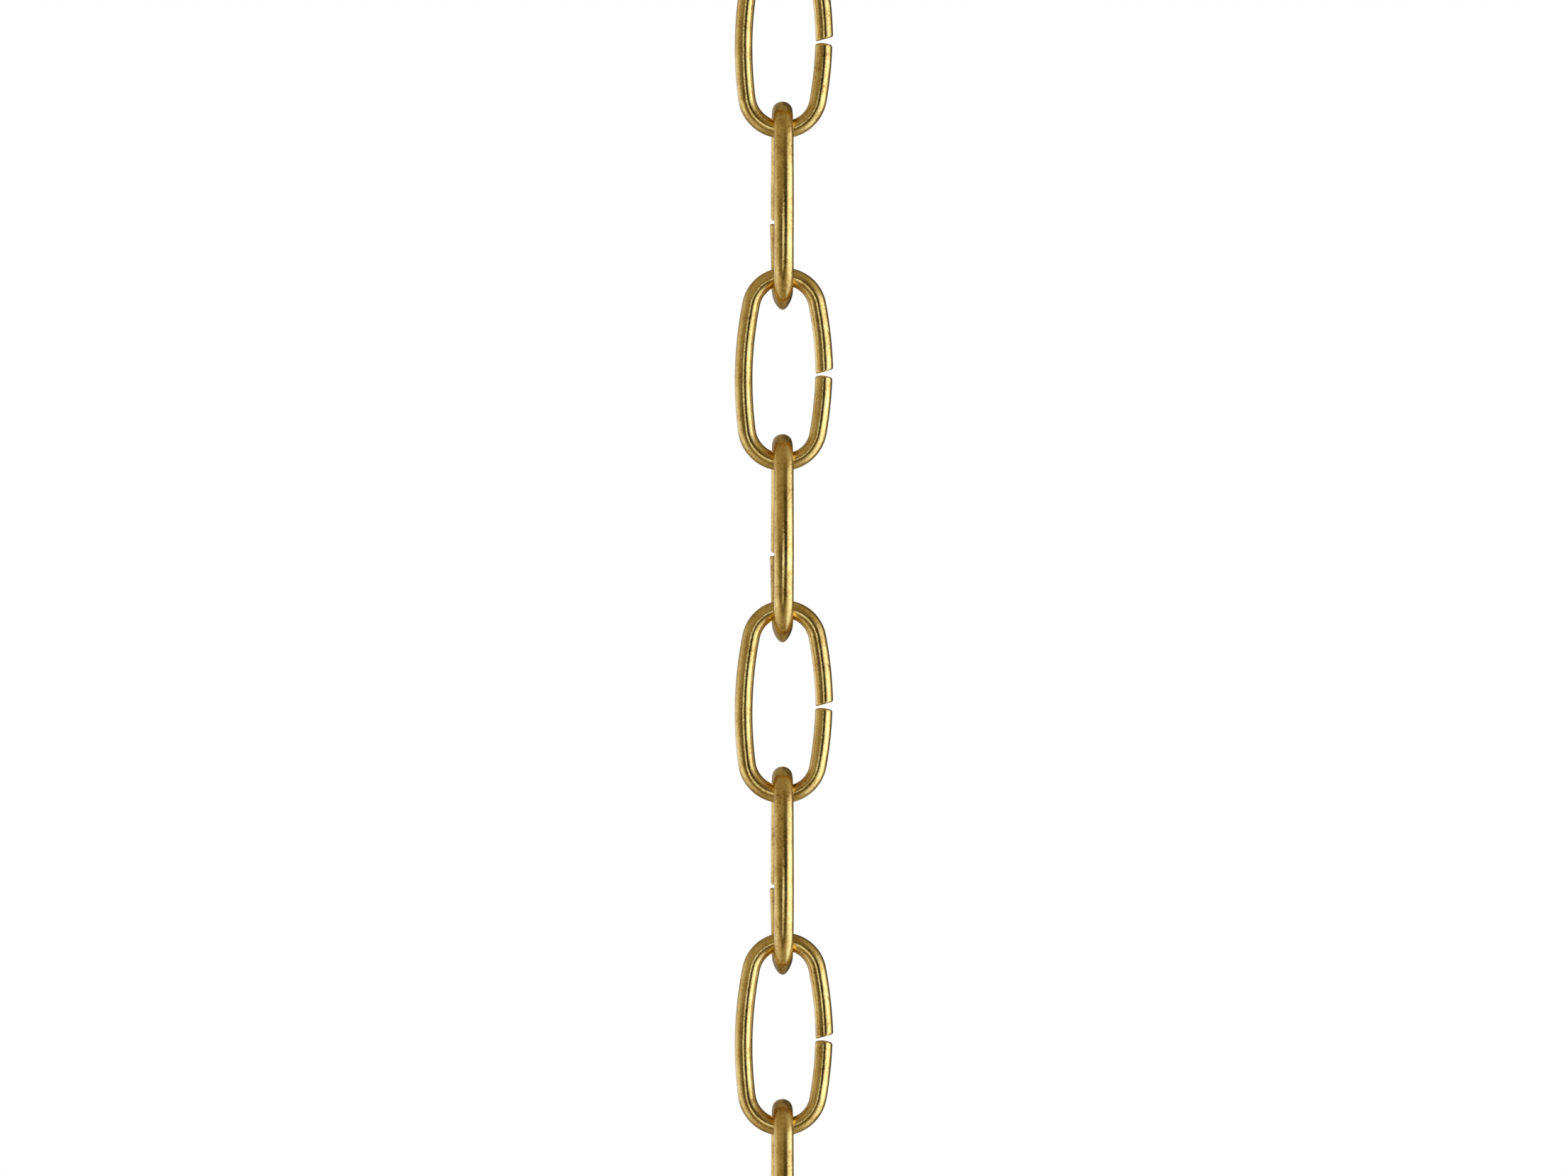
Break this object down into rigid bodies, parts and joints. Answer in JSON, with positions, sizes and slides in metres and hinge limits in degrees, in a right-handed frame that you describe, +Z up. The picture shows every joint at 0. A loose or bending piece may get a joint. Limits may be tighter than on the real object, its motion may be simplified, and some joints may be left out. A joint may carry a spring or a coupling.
{
  "type": "pocket watch chain",
  "caption": "Chain of slim open brass wire links, each turned across the next, hanging from a T-bar and ending in a swivel clasp.",
  "frame": {"origin": "middle of the T-bar, on its axis", "axes": "+X along the T-bar, +Z up; the chain hangs straight down along -Z, odd links face +Y and -Y"},
  "size_m": [0.028, 0.008, 0.1488],
  "materials": {
    "link_brass": "tumbled raw brass, satin",
    "raw_brass": "satin raw brass",
    "rivet_brass": "bright riveted brass",
    "spring_steel": "plain spring steel"
  },
  "bodies": {
    "t_bar": {"t_bar_rod": "raw_brass", "t_bar_collar": "raw_brass", "t_bar_eye": "raw_brass"},
    "top_ring": {"top_ring": "raw_brass"},
    "link_1": {"link_1": "link_brass"},
    "link_2": {"link_2": "link_brass"},
    "link_3": {"link_3": "link_brass"},
    "link_4": {"link_4": "link_brass"},
    "link_5": {"link_5": "link_brass"},
    "link_6": {"link_6": "link_brass"},
    "link_7": {"link_7": "link_brass"},
    "link_8": {"link_8": "link_brass"},
    "lower_ring": {"lower_ring": "raw_brass"},
    "swivel_eye": {"swivel_eye": "raw_brass", "swivel_washer": "rivet_brass"},
    "clasp": {"clasp_barrel": "raw_brass", "clasp_hook": "raw_brass", "clasp_rivet": "rivet_brass", "clasp_spring": "spring_steel"},
    "clasp_lever": {"clasp_lever": "raw_brass"}
  },
  "joints": [
    {"name": "top_ring_swing", "type": "hinge", "parent": "t_bar", "child": "top_ring", "pos_m": [0, 0, -0.0068], "axis": [1, 0, 0], "range_deg": [-90, 90]},
    {"name": "link_1_swing", "type": "hinge", "parent": "top_ring", "child": "link_1", "pos_m": [0, 0, -0.01153], "axis": [0, 1, 0], "range_deg": [-75, 75]},
    {"name": "link_2_swing", "type": "hinge", "parent": "link_1", "child": "link_2", "pos_m": [0, 0, -0.02514], "axis": [-1, 0, 0], "range_deg": [-100, 100]},
    {"name": "link_3_swing", "type": "hinge", "parent": "link_2", "child": "link_3", "pos_m": [-0.0001, 0, -0.03867], "axis": [0.0419, -0.9991, 0], "range_deg": [-100, 100]},
    {"name": "link_4_swing", "type": "hinge", "parent": "link_3", "child": "link_4", "pos_m": [0, 0, -0.05221], "axis": [1, 0, 0], "range_deg": [-100, 100]},
    {"name": "link_5_swing", "type": "hinge", "parent": "link_4", "child": "link_5", "pos_m": [-0.0001, 0, -0.06575], "axis": [-0.0419, 0.9991, 0], "range_deg": [-100, 100]},
    {"name": "link_6_swing", "type": "hinge", "parent": "link_5", "child": "link_6", "pos_m": [0, 0, -0.07929], "axis": [-1, 0, 0], "range_deg": [-100, 100]},
    {"name": "link_7_swing", "type": "hinge", "parent": "link_6", "child": "link_7", "pos_m": [-0.0001, 0, -0.09282], "axis": [0.0419, -0.9991, 0], "range_deg": [-100, 100]},
    {"name": "link_8_swing", "type": "hinge", "parent": "link_7", "child": "link_8", "pos_m": [0, 0, -0.10636], "axis": [1, 0, 0], "range_deg": [-100, 100]},
    {"name": "lower_ring_swing", "type": "hinge", "parent": "link_8", "child": "lower_ring", "pos_m": [-0.0001, 0, -0.1199], "axis": [-0.0419, 0.9991, 0], "range_deg": [-100, 100]},
    {"name": "swivel_eye_swing", "type": "hinge", "parent": "lower_ring", "child": "swivel_eye", "pos_m": [0, 0, -0.12461], "axis": [-1, 0, 0], "range_deg": [-100, 100]},
    {"name": "clasp_turn", "type": "hinge", "parent": "swivel_eye", "child": "clasp", "pos_m": [0, 0, -0.12869], "axis": [0, 0, 1], "continuous": true},
    {"name": "lever_open", "type": "hinge", "parent": "clasp", "child": "clasp_lever", "pos_m": [0.00125, 0, -0.13564], "axis": [0, 1, 0], "range_deg": [0, 32], "stiffness_Nm_per_rad": 0.004, "springref_deg": -28.65}
  ]
}
